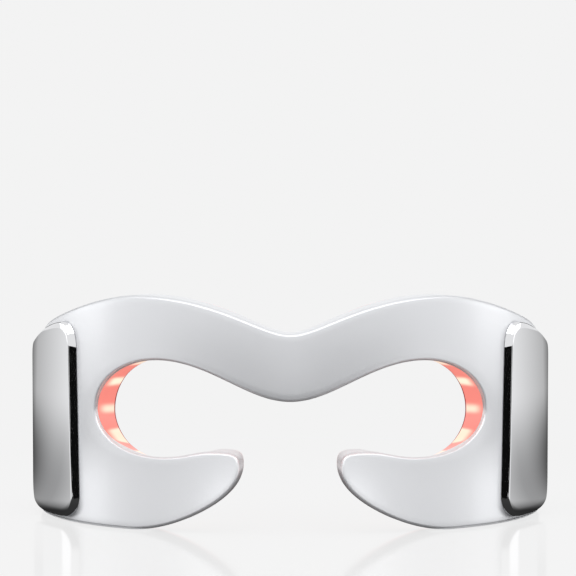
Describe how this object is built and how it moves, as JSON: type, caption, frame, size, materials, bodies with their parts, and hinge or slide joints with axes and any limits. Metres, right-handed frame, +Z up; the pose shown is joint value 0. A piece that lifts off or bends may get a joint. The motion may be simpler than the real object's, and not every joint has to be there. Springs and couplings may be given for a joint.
{
  "type": "led eye mask",
  "caption": "Rigid wrap-around eye mask that shines red and near-infrared light on the skin round the eyes, with open eye areas, side covers, strap ears and a power button",
  "frame": {"origin": "centre of the footprint of the whole part, on the surface that it stands on", "axes": "+X is the wearer's left and the viewer's right, -Y is the front that faces away from the wearer, +Z is up. Left in a node's name is -X, as seen from the front"},
  "size_m": [0.165, 0.0708, 0.0713],
  "materials": {
    "pearl_shell": "satin pearl-silver lacquer over moulded ABS",
    "lens": "translucent tinted polycarbonate, lit from inside",
    "chrome_cover": "bright chrome plating over moulded ABS",
    "temple_plastic": "fine matt texture, moulded ABS",
    "screw_steel": "plated pan heads",
    "flex_film": "white solder mask on polyimide film",
    "amber_led": "clear lens over an amber die",
    "red_led": "clear lens over a red die",
    "deep_red_led": "clear lens over a deep red die",
    "infrared_led": "clear lens over an infrared die",
    "resistor": "thick-film chip resistor",
    "flex_tail": "bare polyimide film",
    "cell_pouch": "laminated foil pouch",
    "foam": "closed-cell foam tape",
    "green_board": "green solder mask on glass-fibre board",
    "nickel": "nickel strip",
    "chip": "moulded epoxy",
    "ferrite": "ground ferrite",
    "connector_plastic": "natural white nylon",
    "port_steel": "stamped steel shell",
    "light_pipe": "clear acrylic",
    "silicone": "soft matt silicone"
  },
  "bodies": {
    "mask": {"front_cover": "pearl_shell", "rear_lens": "lens", "side_cover_left": "chrome_cover", "side_cover_right": "chrome_cover", "temple_back_left": "temple_plastic", "temple_back_right": "temple_plastic", "temple_screws": "screw_steel", "light_board": "flex_film", "leds_amber": "amber_led", "leds_red": "red_led", "leds_deep_red": "deep_red_led", "leds_infrared": "infrared_led", "light_resistors": "resistor", "flex_tail_left": "flex_tail", "flex_tail_right": "flex_tail", "battery_cell": "cell_pouch", "battery_foam": "foam", "battery_protection_board": "green_board", "battery_tabs": "nickel", "control_board": "green_board", "control_chip": "chip", "led_driver_chip": "chip", "driver_inductor": "ferrite", "flex_connector": "connector_plastic", "usb_c_port": "port_steel", "tact_switch": "chip", "status_led": "connector_plastic", "status_light_pipe": "light_pipe", "nose_pad": "silicone", "brow_pad_left": "silicone", "brow_pad_right": "silicone"},
    "button": {"power_button": "chrome_cover", "switch_plunger": "chip"}
  },
  "joints": [
    {"name": "power_button_press", "type": "slide", "parent": "mask", "child": "button", "axis": [0, 0, 1], "range_m": [0, 0.0005], "stiffness_N_per_m": 2000, "springref_m": -0.0003}
  ]
}
